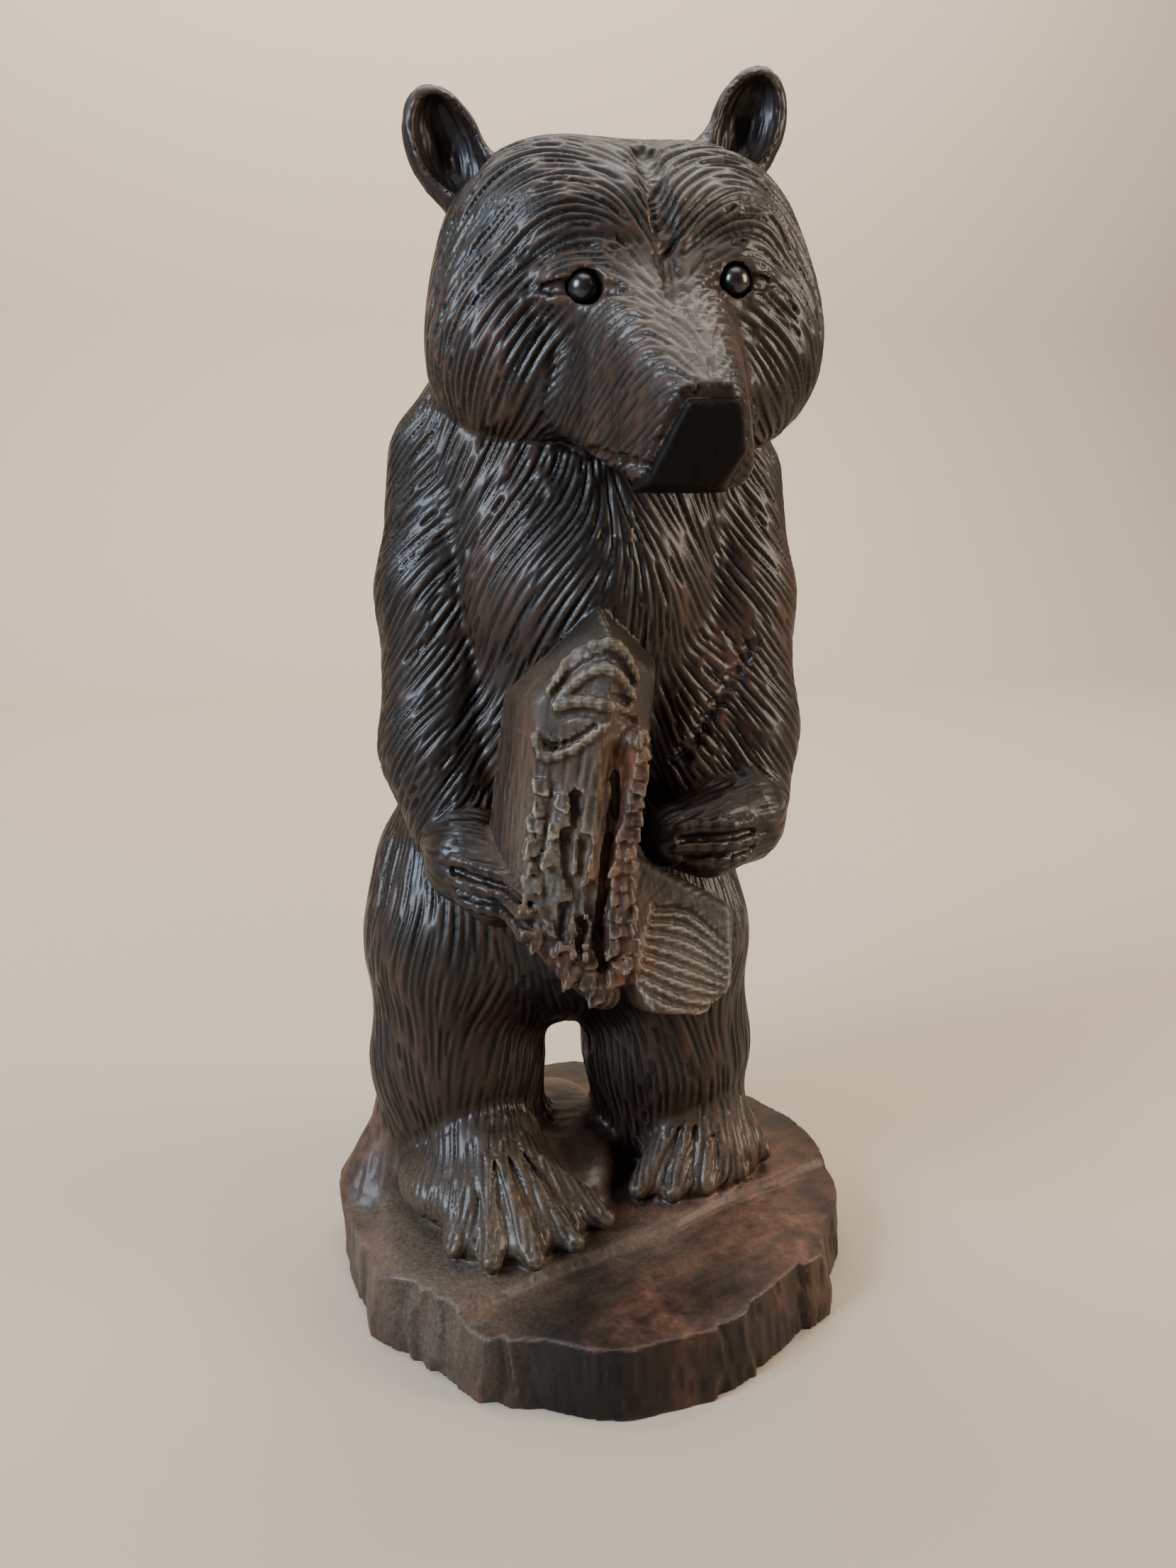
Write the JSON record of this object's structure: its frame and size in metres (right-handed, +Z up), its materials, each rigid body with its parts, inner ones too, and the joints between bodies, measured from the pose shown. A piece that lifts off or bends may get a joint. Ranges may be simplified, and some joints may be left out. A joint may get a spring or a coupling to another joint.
{
  "type": "carved wooden bear figurine",
  "caption": "Carved dark hardwood bear standing upright on a rough log-slice slab, holding a salmon against its belly, with inlaid bead eyes.",
  "frame": {"origin": "middle of the slab's flat underside, at the middle of the object's box", "axes": "+Z up, the bear faces -Y, and its left side is +X"},
  "size_m": [0.119, 0.119, 0.2555],
  "materials": {
    "bear_wood": "waxed, V-gouged fur",
    "slab_wood": "waxed top, rough hewn side",
    "salmon_wood": "waxed, chiselled scales with pale dust",
    "nose_wood": "dark, waxed",
    "bead": "polished black"
  },
  "bodies": {
    "root": {"base_slab": "slab_wood", "right_foot": "bear_wood", "left_foot": "bear_wood", "right_leg": "bear_wood", "left_leg": "bear_wood", "hips": "bear_wood", "torso": "bear_wood", "right_arm": "bear_wood", "left_arm": "bear_wood", "right_paw": "bear_wood", "left_paw": "bear_wood", "salmon_head": "salmon_wood", "salmon_body": "salmon_wood", "salmon_tail": "salmon_wood", "head": "bear_wood", "muzzle": "bear_wood", "nose": "nose_wood", "right_ear": "bear_wood", "left_ear": "bear_wood", "right_eye": "bead", "left_eye": "bead"}
  },
  "joints": []
}
